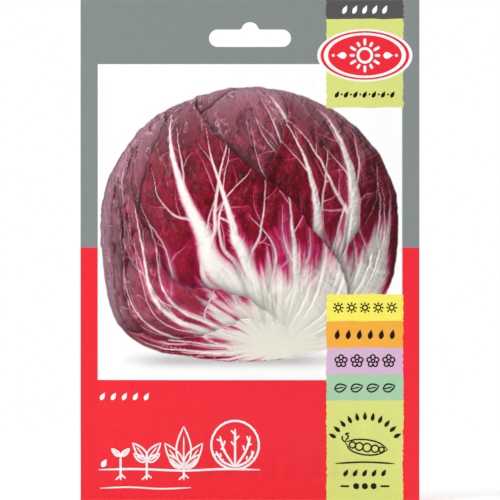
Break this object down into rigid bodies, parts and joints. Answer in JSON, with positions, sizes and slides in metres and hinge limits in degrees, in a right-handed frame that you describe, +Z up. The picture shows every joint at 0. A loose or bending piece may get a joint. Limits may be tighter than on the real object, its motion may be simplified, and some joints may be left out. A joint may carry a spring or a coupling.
{
  "type": "seed packet",
  "caption": "Flat pillow-shaped seed packet of two sealed webs of printed film round a fill of seed, with a euro hang slot in its header.",
  "frame": {"origin": "top of the hang slot's hump, where a peg carries the packet, on the seal between the two webs", "axes": "+Z up along the packet's height, -Y out of its printed front, +X to the right seen from the front"},
  "size_m": [0.132, 0.0076, 0.195],
  "materials": {
    "front_film": "satin",
    "back_film": "satin",
    "seed": "matte"
  },
  "bodies": {
    "root": {"front_web": "front_film", "back_web": "back_film", "seed_fill": "seed"}
  },
  "joints": []
}
